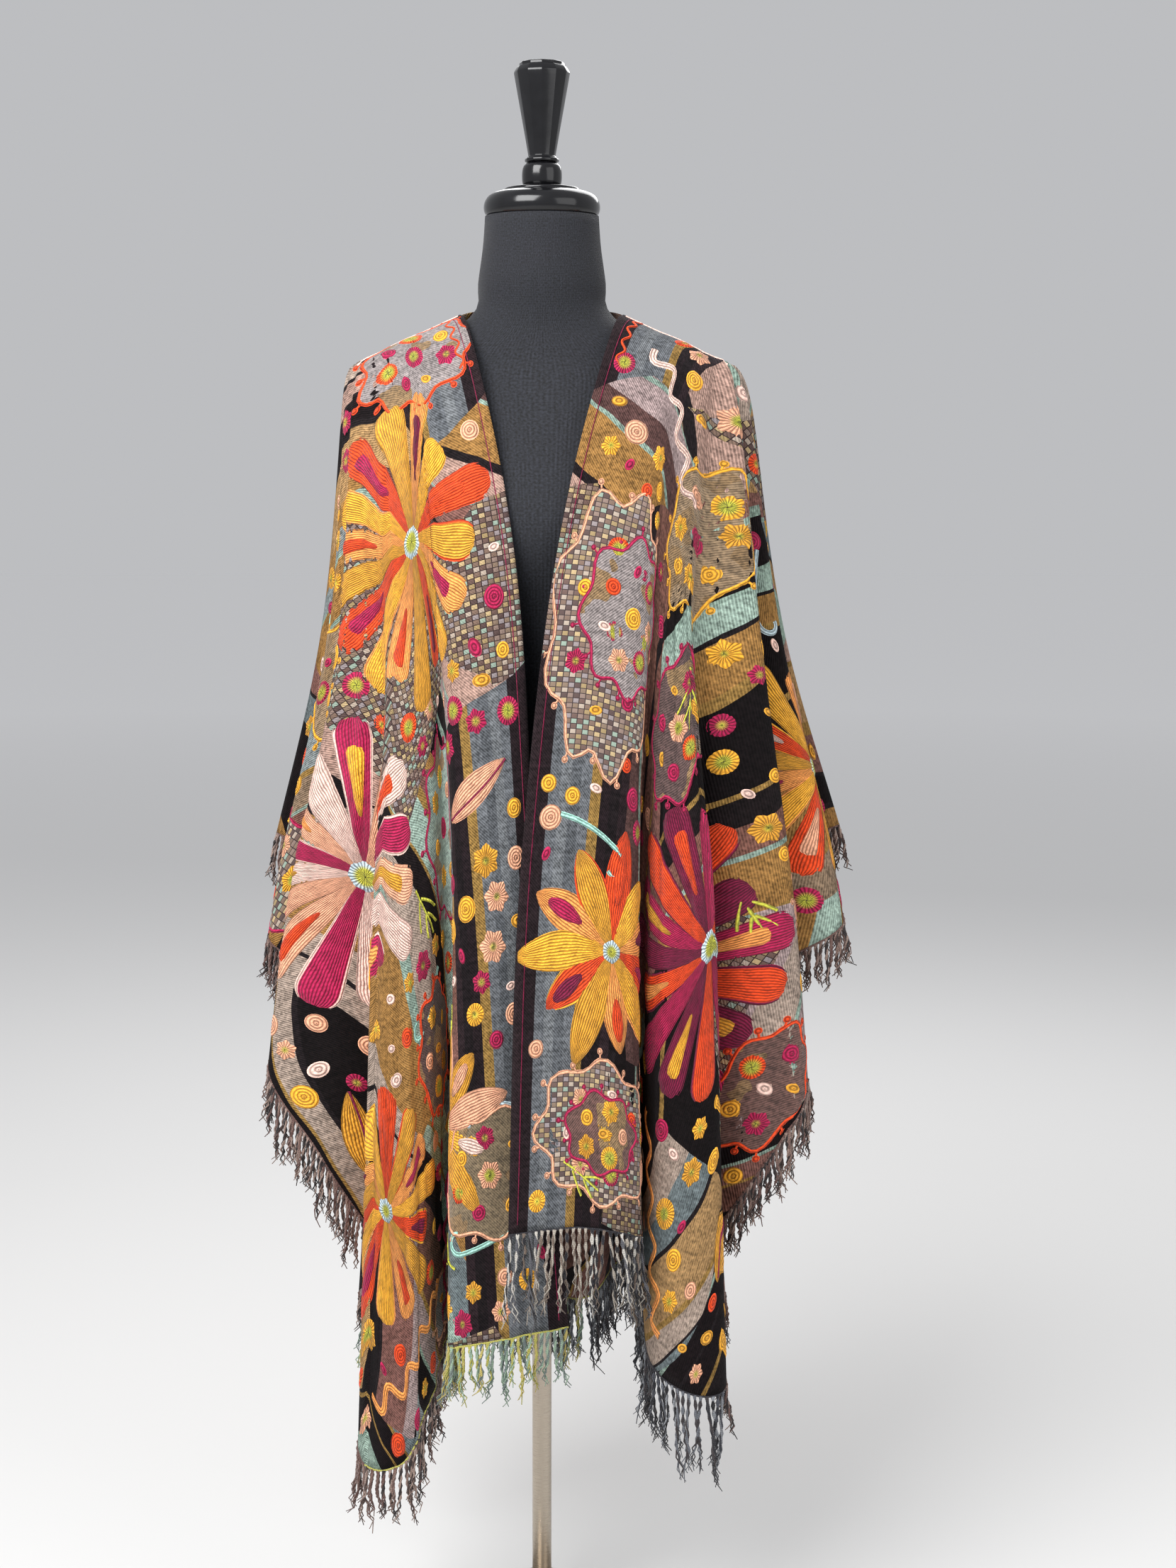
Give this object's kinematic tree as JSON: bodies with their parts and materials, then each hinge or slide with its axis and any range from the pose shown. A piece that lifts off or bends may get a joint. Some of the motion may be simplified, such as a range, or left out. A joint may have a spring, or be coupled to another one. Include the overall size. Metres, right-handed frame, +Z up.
{
  "type": "ruana on a limbless dress form",
  "caption": "Open-fronted wool ruana with long fringed points, draped in deep folds over a limbless dress form with a turned cap, a pole and a round base.",
  "frame": {"origin": "on the floor, under the middle of the round base", "axes": "+Z up, -Y towards the garment's open front, +X towards the wearer's left"},
  "size_m": [0.6489, 0.4077, 1.7604],
  "materials": {
    "cloth": "patterned wool with chain-stitch embroidery",
    "yarn": "twisted wool fringe",
    "jersey": "fine black jersey",
    "lacquer": "black high gloss",
    "steel": "brushed"
  },
  "bodies": {
    "root": {"right_front": "cloth", "left_front": "cloth", "back": "cloth", "right_front_hem_fringe": "yarn", "right_front_side_fringe": "yarn", "left_front_hem_fringe": "yarn", "left_front_side_fringe": "yarn", "back_right_side_fringe": "yarn", "back_hem_fringe": "yarn", "back_left_side_fringe": "yarn", "torso_form": "jersey", "neck_cap": "lacquer", "finial_bead": "lacquer", "finial": "lacquer", "base": "steel", "pole": "steel"}
  },
  "joints": []
}
